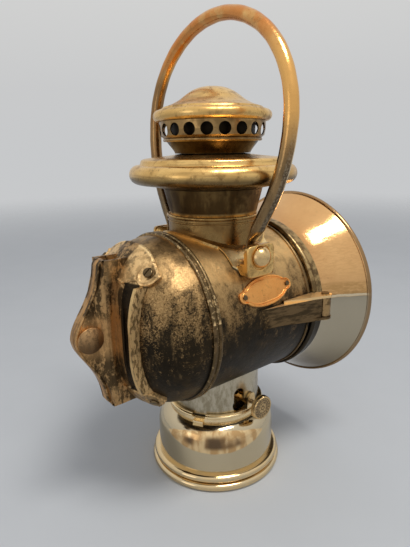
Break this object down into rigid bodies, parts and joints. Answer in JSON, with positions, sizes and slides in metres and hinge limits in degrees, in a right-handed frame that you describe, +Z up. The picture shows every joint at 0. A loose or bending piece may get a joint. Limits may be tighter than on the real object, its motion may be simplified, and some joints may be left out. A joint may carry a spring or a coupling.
{
  "type": "car lamp",
  "caption": "Oil side lamp of an early motor car: drum with flared bell door, vented chimney, swing bail, rear bracket socket and a bayonet oil font with wick knob.",
  "frame": {"origin": "centre of the font's flat base, in the plane that the lamp stands on, on the axis of the font and chimney", "axes": "+Z up along the font and chimney, +X the way the light shines, +Y towards the far side, with the wick knob and the door hinge on the -Y side"},
  "size_m": [0.1567, 0.122, 0.2565],
  "materials": {
    "nickel_plate": "polished, worn",
    "brass_fittings": "worn",
    "aged_brass": "patinated",
    "blackened_brass": "blackened, worn",
    "bracket_brass": "blackened, worn",
    "polished_brass": "polished",
    "coppery_brass": "tarnished",
    "copper_plate": "matt",
    "silvered_mirror": "polished",
    "spring_steel": "brushed",
    "lens_glass": "clear",
    "gasket_cord": "woven",
    "wick_cotton": "woven"
  },
  "bodies": {
    "lamp_body": {"neck_sleeve": "nickel_plate", "drum_barrel": "blackened_brass", "rear_dome": "blackened_brass", "seam_band": "blackened_brass", "front_ring": "blackened_brass", "reflector": "silvered_mirror", "reflector_clips": "spring_steel", "saddle_plate": "aged_brass", "chimney_collar": "aged_brass", "inner_flue": "aged_brass", "funnel": "aged_brass", "brim_lower": "aged_brass", "brim_upper": "aged_brass", "vent_bowl": "aged_brass", "vent_gallery": "aged_brass", "cap_dome": "aged_brass", "cap_baffle": "aged_brass", "bail_pads": "aged_brass", "bail_rivets": "brass_fittings", "nameplate": "copper_plate", "nameplate_pins": "brass_fittings", "hinge_arm": "blackened_brass", "hinge_pin": "brass_fittings", "catch_spring": "spring_steel", "bracket_back": "bracket_brass", "cheek_near": "bracket_brass", "cheek_far": "bracket_brass", "fin_core": "coppery_brass", "clamp_bolt": "bracket_brass", "clamp_nut": "brass_fittings", "ear_screws": "brass_fittings"},
    "font": {"font_shell": "nickel_plate", "font_base": "nickel_plate", "foot_ring": "nickel_plate", "bayonet_ring": "brass_fittings", "burner_collar": "brass_fittings", "burner_body": "brass_fittings", "burner_gallery": "brass_fittings", "wick_tube": "brass_fittings", "burner_cap": "brass_fittings", "spindle_bush": "brass_fittings"},
    "wick": {"wick": "wick_cotton"},
    "wick_knob": {"wick_spindle": "spring_steel", "wick_knob": "brass_fittings"},
    "bail": {"bail": "coppery_brass"},
    "bell_door": {"door_ring": "polished_brass", "lens_gasket": "gasket_cord", "lens_glass": "lens_glass", "lens_retainer": "brass_fittings", "bell_hood": "polished_brass", "bell_rim": "polished_brass", "catch_stud": "brass_fittings"}
  },
  "joints": [
    {"name": "font_twist", "type": "hinge", "parent": "lamp_body", "child": "font", "pos_m": [0, 0, 0.04], "axis": [0, 0, 1], "range_deg": [-18, 0]},
    {"name": "knob_turn", "type": "hinge", "parent": "font", "child": "wick_knob", "pos_m": [0.0045, -0.034, 0.0455], "axis": [0, 1, 0], "range_deg": [-102, 132]},
    {"name": "wick_rise", "type": "slide", "parent": "font", "child": "wick", "axis": [0, 0, 1], "range_m": [-0.006, 0.0078]},
    {"name": "bail_swing", "type": "hinge", "parent": "lamp_body", "child": "bail", "pos_m": [-0.0045, 0, 0.1358], "axis": [0, 1, 0], "range_deg": [-78, 60]},
    {"name": "door_swing", "type": "hinge", "parent": "lamp_body", "child": "bell_door", "pos_m": [0.0365, -0.0515, 0.1035], "axis": [0, 0, -1], "range_deg": [0, 100]}
  ],
  "couplings": [
    {"joint": "knob_turn", "follows": "wick_rise", "rad_per_m": 294.12}
  ]
}
